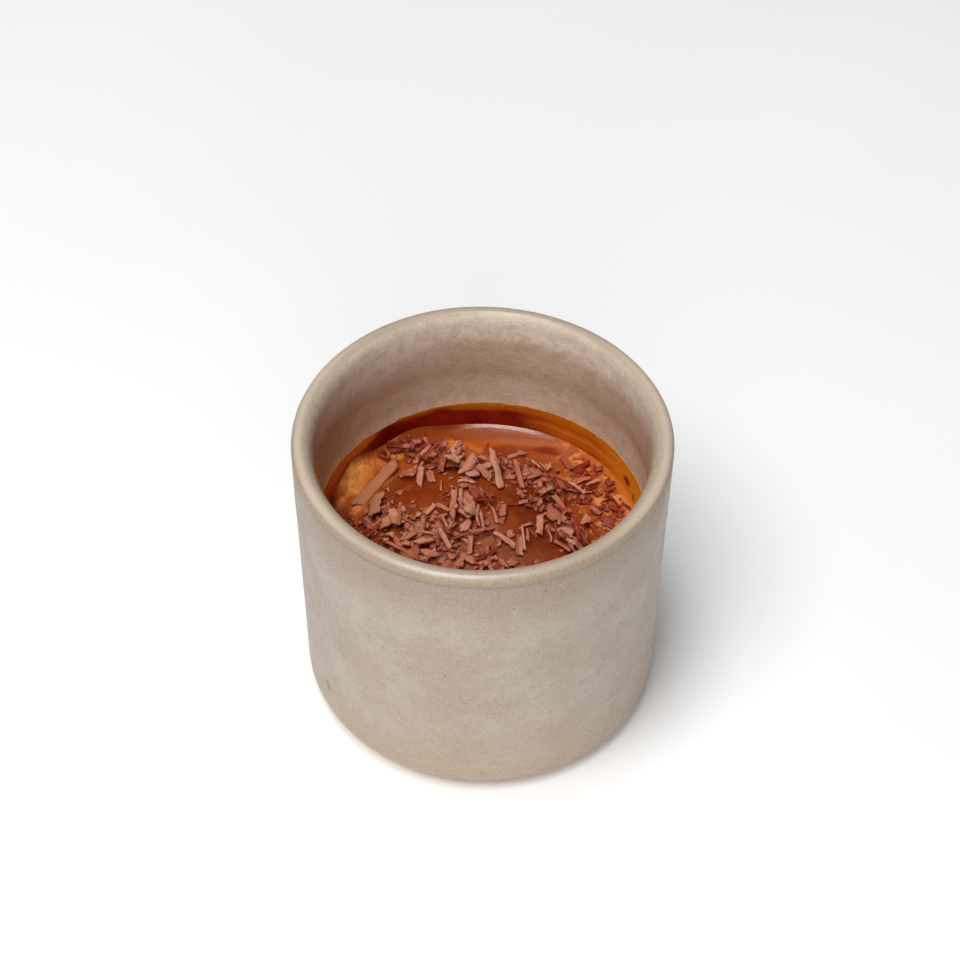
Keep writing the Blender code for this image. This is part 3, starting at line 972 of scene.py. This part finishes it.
# Places the shavings missed, where the scoop or the crema shows: x, y, half length, half width (mm).
MISSED = (
    (-14, 9, 6.5, 4.2),
    (5, 7, 3, 2.5),
    (9, 1.5, 3.5, 3),
    (5.5, -2.5, 2.5, 2),
    (12.5, -8, 4, 3),
    (1.5, -8, 2, 2),
    (-29.5, 16, 4.5, 9),
    (4, 31, 16, 5),
)
NEAR_WALL = 34.5  # mm from the axis, past which nothing is scattered


def sprinkle(x, y, half_x, half_y, turn, heading, wander, soak_and_shade=0.0, highest=1.3, forward=0.0, **counts):
    """Scatters shavings over an oval (mm, degrees), thickest in its middle."""
    order = [kind for kind, count in counts.items() for _ in range(count)]
    chance.shuffle(order)
    order.sort(key=lambda kind: kind == "crumbs")
    for kind in order:
        away, side = chance.gauss(0.0, 0.5), chance.gauss(0.0, 0.5)
        turned_x = math.cos(math.radians(turn))
        turned_y = math.sin(math.radians(turn))
        spot_x = x + half_x * away * turned_x - half_y * side * turned_y
        spot_y = y + half_x * away * turned_y + half_y * side * turned_x
        missed = any(math.hypot((spot_x - a) / c, (spot_y - b) / d) < 1.0 for a, b, c, d in MISSED)
        if math.hypot(spot_x, spot_y) < NEAR_WALL and not missed:
            course = chance.gauss(heading, wander)
            lay(kind, spot_x, spot_y, course, lean=17.0, soak_and_shade=soak_and_shade, highest=highest, forward=forward)


# Small stuff first, in drifts: where they lie, how far they reach, and how many of each kind.
sprinkle(-16, 25, 5, 3, 10, 20, 50, soak_and_shade=0.6, chips=8, strips=3, slivers=4, crumbs=20)
sprinkle(-18.5, 26, 5, 2.4, 10, 10, 30, soak_and_shade=0.8, planks=3, strips=9, flakes=2, chips=22, slivers=6)
sprinkle(23.5, 22.5, 2.5, 2, 0, 20, 50, soak_and_shade=0.9, planks=2, flakes=2, strips=3, chips=10)
sprinkle(-4, 18, 14, 4, -8, 55, 45, strips=8, flakes=4, chips=30, slivers=12, crumbs=50)
sprinkle(9, 20, 8, 5, -20, -40, 40, soak_and_shade=0.25, planks=4, strips=10, flakes=6, chips=16, slivers=9, crumbs=30)
sprinkle(14, 8, 9, 8, 40, -50, 45, planks=6, strips=14, flakes=10, chips=40, slivers=14, crumbs=70)
sprinkle(25, 14, 5, 10, 20, -30, 60, soak_and_shade=0.7, planks=3, strips=6, flakes=4, chips=18, slivers=8, crumbs=40)
sprinkle(29, 4, 4, 8, 0, -30, 60, soak_and_shade=0.6, strips=3, flakes=3, chips=14, slivers=5, crumbs=35)
sprinkle(-2, 3, 8, 9, 0, -80, 40, planks=2, strips=8, flakes=6, chips=12, slivers=8, crumbs=40)
sprinkle(-1, -8, 12, 5, 0, 30, 70, planks=3, strips=8, flakes=8, chips=16, slivers=12, crumbs=50)
sprinkle(
    -16, -5, 10, 8, -35, -20, 50, soak_and_shade=0.1, planks=7, strips=12, flakes=24, chips=44, slivers=14, crumbs=90
)
sprinkle(-22, 5, 3.5, 5, 10, 60, 50, soak_and_shade=0.3, strips=2, chips=12, slivers=4, crumbs=40)
sprinkle(-29.5, -1, 4, 6, 20, 60, 50, soak_and_shade=0.8, strips=2, flakes=2, chips=16, slivers=4, crumbs=60)
sprinkle(19, -3, 6, 7, 30, -45, 40, planks=5, strips=9, flakes=5, chips=20, slivers=9, crumbs=40)
sprinkle(0, -16, 18, 7, 0, 0, 70, soak_and_shade=0.1, planks=5, strips=10, flakes=12, chips=30, slivers=14, crumbs=70)
sprinkle(2, -28, 14, 4, 0, 0, 70, soak_and_shade=0.6, strips=3, flakes=2, chips=14, slivers=5, crumbs=40)
sprinkle(0, 0, 32, 30, 0, 0, 90, soak_and_shade=0.2, chips=12, slivers=8, crumbs=110)

# Then bigger pieces, piled on those in the same drifts. After the wander come how soaked they
# are, how high they may pile (mm), and how far they lean forward.
sprinkle(-2, 17, 12, 3, -6, 50, 45, 0.0, 3.4, 0.3, planks=10, strips=10, flakes=10, chips=12)
sprinkle(11, 17, 6, 4, -20, -40, 50, 0.0, 3.0, 0.2, planks=3, strips=6, flakes=4, chips=8)
sprinkle(14, 8, 7, 5, 40, -50, 50, 0.0, 3.2, 0.2, planks=8, strips=10, flakes=8, chips=16)
sprinkle(20, -3, 4, 6, 30, -50, 50, 0.0, 2.8, 0.1, planks=3, strips=6, flakes=4, chips=10)
sprinkle(-3, 0, 6, 6, 0, -75, 40, 0.0, 2.8, 0.1, planks=2, strips=4, flakes=4, chips=8)
sprinkle(-14, -6, 9, 5, -35, -10, 50, 0.0, 2.8, 0.1, planks=4, strips=8, flakes=12, chips=20)
sprinkle(0, -15, 12, 5, 0, 0, 70, 0.0, 2.6, 0.1, planks=3, strips=8, flakes=8, chips=14)

# Last the largest, which lie on top: x, y (mm), heading (degrees), length and width (mm).
LARGEST_SHAVINGS = {
    "flakes": (
        (-16.5, 16.5, -15, 4.4, 2.8), (-11.5, 13.5, -80, 4.0, 2.0), (-9, 16.5, 60, 4.6, 2.2),
        (-6, 18, 65, 8.0, 4.0), (-3, 14.5, 60, 6.0, 2.4), (12, 14, 25, 5.0, 2.2),
        (14, 21.5, 15, 3.2, 2.8), (14, 9, 25, 4.2, 2.4), (15, 2, -45, 4.8, 3.0),
        (18.5, -3, 0, 4.4, 3.6), (22.5, -1.5, 60, 4.6, 2.4), (23, 5, 70, 5.0, 2.2),
        (-23.5, 7, -88, 9.5, 4.4), (-24, 0.5, -25, 3.2, 1.6), (-18.5, -2, -54, 5.0, 2.6),
        (-20, -5, -38, 3.0, 2.2), (-2, 4.5, -60, 3.6, 2.6), (-4, 1.5, -80, 4.4, 2.4),
        (-2, -1, 52, 4.2, 2.8), (-12, -9, -4, 6.4, 2.6), (-11, -11.5, 5, 6.0, 2.4),
        (-6, -13, -14, 3.0, 2.4), (0.5, -10.5, 20, 3.2, 2.6),
    ),
    "planks": (
        (-23.4, 16, 57, 17.5, 3.1), (-13.5, 13.5, -95, 5.6, 1.8), (-13, 22.5, 62, 8.5, 1.7),
        (-9.5, 21, 68, 9.0, 1.7), (0.5, 13, -40, 4.8, 2.0), (3, 13.5, -73, 10.5, 2.1),
        (17, 5, -57, 5.5, 1.8), (22.5, 18, 22, 3.8, 1.4), (24.5, 17, 26, 3.8, 1.3),
        (21, 14.5, -44, 5.6, 1.7), (-6, 2, -89, 10.5, 1.7), (4.5, 0.5, -95, 4.0, 1.8),
        (12.5, -2, -89, 6.0, 1.9), (8, -8, -95, 5.2, 2.1), (5, -7.5, -38, 6.0, 1.4),
        (-11, 1, 49, 3.4, 1.5), (-8, -9, -65, 6.2, 1.4), (-15, -6.5, 14, 2.8, 1.5),
        (-2.5, -10, -97, 5.2, 1.4),
    ),
    "strips": (
        (-16.5, 14, -16, 3.6, 1.1), (-5.5, 22, 72, 3.6, 1.0), (8, 22, 30, 5.8, 1.3),
        (9, 25.5, 0, 2.4, 1.1), (11.5, 16.5, -37, 5.2, 1.0), (11.5, 12, 35, 4.4, 1.1),
        (5, 15.5, -3, 3.6, 1.2), (8, 12.5, -75, 7.4, 1.3), (25, 8, -50, 3.6, 1.2),
        (-9, 10, -86, 4.7, 0.9), (-3.5, 9.5, -26, 5.2, 1.1), (0, 5.5, -86, 4.4, 1.1),
        (-4.5, 2.5, -86, 6.6, 1.1), (2.5, 0, -77, 5.6, 1.2), (9, 4.5, 20, 2.4, 1.0),
        (9.5, -2.5, 26, 3.6, 1.0), (9, -6.5, -85, 6.5, 0.9), (10, -5.5, -90, 3.8, 0.9),
        (17, 0.5, -110, 4.8, 1.1), (17.5, -6, -38, 4.6, 1.1), (18.5, -5, -30, 4.2, 1.1),
        (14.5, -4.5, -66, 3.4, 0.9), (0, -3, -77, 5.8, 1.1), (-1, -3, -80, 5.2, 0.9),
        (-8.5, 0, -38, 4.4, 1.2), (-8, -5, -72, 6.5, 1.2), (-6.5, -6.5, -110, 4.0, 1.1),
        (-5, -7.5, 28, 4.8, 0.7), (0, -6.5, 24, 5.0, 1.0), (-11.5, -8, -17, 4.5, 0.9),
    ),
}
chance.seed(12)  # so that these lie the same whatever was sprinkled before
for kind, shavings in LARGEST_SHAVINGS.items():
    for x, y, heading, length, width in shavings:
        forward = 0.35 if y > 12 and abs(x) < 20 else 0.0
        lay(kind, x, y, heading, length, width, highest=8.0, forward=forward)

# And a few slivers and chips that came down on those.
sprinkle(-9, 19, 10, 3, -8, 50, 45, 0.0, 8.0, 0.3, slivers=5, chips=9)
sprinkle(8, 17, 8, 4, -20, -45, 40, 0.0, 8.0, 0.2, slivers=4, chips=7)
sprinkle(13, 7, 6, 5, 40, -50, 50, 0.0, 8.0, 0.2, slivers=6, chips=9)
sprinkle(19, -2, 5, 6, 30, -50, 50, 0.0, 8.0, 0.1, slivers=5, chips=7)
sprinkle(-2, 2, 6, 6, 0, -70, 50, 0.0, 8.0, 0.1, slivers=3, chips=4)
sprinkle(-15, -6, 9, 5, -35, -10, 60, 0.0, 8.0, 0.1, slivers=3, chips=3)
sprinkle(0, -15, 12, 5, 0, 0, 70, 0.0, 8.0, 0.1, slivers=4, chips=4)

# The heap that drifted against the back left, half sunk and soaked below, dry on top.
sprinkle(-17, 27.5, 5, 1.8, 14, 15, 30, soak_and_shade=0.75, highest=3.0, strips=7, planks=3, chips=12, slivers=4)
sprinkle(-15.5, 26.5, 4.5, 1.4, 14, 15, 30, soak_and_shade=0.15, highest=3.5, strips=3, chips=5, slivers=3)

# Bits washed against the wall at the front left, and a few chips on the bare crown.
sprinkle(-28, 0, 2.2, 7, 30, 60, 60, soak_and_shade=0.75, highest=2.5, flakes=2, chips=16, slivers=6, crumbs=50)
sprinkle(-24, 0, 2.5, 6, 30, 60, 60, soak_and_shade=0.2, highest=2.5, flakes=3, chips=14, slivers=4, crumbs=30)
for x, y, length, width in ((-20.8, 12.4, 1.3, 2.6), (-18.2, 9.6, 2.4, 2.0), (-15, 4.9, 1.6, 1.1)):
    lay("chips", x, y, 20, length, width)

chocolate = Finish("milk_chocolate", 0.55, Specular_IOR_Level=0.12, **soft_inside)
chocolate.shader["Subsurface Scale"].default_value = 0.4 * MM
# Each shaving has its own tone and the knife's grooves along it. Its edges are painted darker and redder, a
# painted shade with red light through the thin edge. It is darker and redder where it has soaked and, as
# painted shade, where it lies low; and it has a faint pale bloom.
tone, soak_and_shade = chocolate.attribute("tone"), chocolate.attribute("soak_and_shade")
grooves = chocolate.node("Mapping", chocolate.node("UVMap").outputs[0])
grooves.inputs["Scale"].default_value = (0.35, 5.0, 1.0)
grooves = chocolate.node("TexNoise", grooves.outputs[0], None, 1.0, 3.0, 0.6).outputs[0]
chocolate.colour = chocolate.mix(chocolate.step(tone, 0.0, 0.5), (150, 78, 52), (184, 113, 87))
chocolate.paint(chocolate.step(tone, 0.5, 1.0), (200, 143, 117))
chocolate.paint(chocolate.step(grooves, 0.56, 0.38), (126, 38, 8), 0.45)
# Painted shade and red light through the thin edge, round each shaving.
painted_edge_shade = chocolate.step(chocolate.attribute("painted_edge_shade"), 0.25, 1.0)
chocolate.paint(painted_edge_shade, (132, 30, 3), 0.75)
bloom = chocolate.drift(Size=0.0012, Low=0.5, High=0.75, Shift=0.4)
chocolate.paint(bloom, (212, 158, 134), 0.35)
# Where cream has coated it: centre x, y, half length, half width (mm), turn (degrees), strength.
CREAM_COATED = ((-25, 11, 10, 4, 65, 0.8), (-18, -2, 10, 6, -30, 0.3), (-26, 25, 4, 3, 20, 0.3))
for x, y, half_length, half_width, turn, strength in CREAM_COATED:
    coated = chocolate.oval((x, y, DRINK_LEVEL / MM), half_length, half_width, turn, Grain=0.003)
    chocolate.paint(coated, (184, 124, 82), strength)
# Darker and redder where soaked, and painted shade where pieces lie low.
chocolate.paint(soak_and_shade, (122, 28, 6))
chocolate.wire(chocolate.colour, "Base Color")
chocolate.wire(chocolate.between(soak_and_shade, 0.62, 0.42), "Roughness")
grain = chocolate.drift(Size=0.0005, Detail=2.0, Low=0.2, High=0.8)
chocolate.raised((grooves, 0.00007), (grain, 0.00003))

for kind, shavings in shaved.items():
    for shaving in shavings:
        bpy.data.objects.remove(shaving)
    bpy.ops.object.select_all(action="DESELECT")
    for shaving in laid[kind]:
        shaving.select_set(True)
    bpy.context.view_layer.objects.active = laid[kind][0]
    bpy.ops.object.join()
    heap = bpy.context.object
    heap.name = heap.data.name = "chocolate_" + kind
    heap.data.materials.clear()
    heap.data.materials.append(chocolate.material)
    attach(heap, "root")

# ---------------------------------------------------------------------------------------------
# The set: a pale table top, large soft lights above to the front left, overhead and low in
# front, and the camera above the rim looking down into the cup.
# ---------------------------------------------------------------------------------------------

floor = begin("table_top", bpy.ops.mesh.primitive_plane_add, size=6.0)
table = Finish("pale_table", 0.7)
table.colour = table.mix(table.drift(Size=0.2, Low=0.3, High=0.7), (246, 246, 246), (250, 250, 250))
table.shader["Emission Color"].default_value = (1.0, 1.0, 1.0, 1.0)
table.shader["Emission Strength"].default_value = 0.06
table.wire(table.colour, "Base Color")
floor.data.materials.append(table.material)


def soft_light(name, place, target, size, watts):
    light = bpy.data.lights.new(name, "AREA")
    light.shape = "DISK"
    light.size = size
    light.energy = watts
    lamp = bpy.data.objects.new(name, light)
    lamp.location = place
    lamp.rotation_euler = (Vector(target) - Vector(place)).to_track_quat("-Z", "Y").to_euler()
    bpy.context.collection.objects.link(lamp)


soft_light("window", (-0.35, -0.45, 1.25), (0, 0, 0.04), 0.7, 11.6)
soft_light("overhead", (-0.12, 0, 1.5), (0, 0, 0.04), 0.5, 8)
soft_light("front", (0, -1.5, 0.6), (0, 0, 0.04), 1.2, 7.4)

world = bpy.data.worlds.new("studio")
bpy.context.scene.world = world
world.use_nodes = True
backdrop = world.node_tree.nodes["Background"]
backdrop.inputs["Color"].default_value = (1.0, 0.99, 0.98, 1.0)
backdrop.inputs["Strength"].default_value = 0.06

CAMERA_DISTANCE = 0.519
CAMERA_HEIGHT_ANGLE = math.radians(48.3)
CAMERA_ROLL = math.radians(0.46)
middle = Vector((0.0, 0.0, CUP_HEIGHT / 2))
camera_data = bpy.data.cameras.new("camera")
camera_data.sensor_width = 36.0
camera_data.lens = 88.9
camera_data.shift_x, camera_data.shift_y = -0.0018, 0.0715
camera = bpy.data.objects.new("camera", camera_data)
towards = Vector((0.0, -math.cos(CAMERA_HEIGHT_ANGLE), math.sin(CAMERA_HEIGHT_ANGLE)))
camera.location = middle + towards * CAMERA_DISTANCE
camera.rotation_euler = (
    (-towards).to_track_quat("-Z", "Y").to_matrix() @ Matrix.Rotation(CAMERA_ROLL, 3, "Z")
).to_euler()
bpy.context.collection.objects.link(camera)
bpy.context.scene.camera = camera
bpy.context.scene.view_settings.view_transform = "Standard"
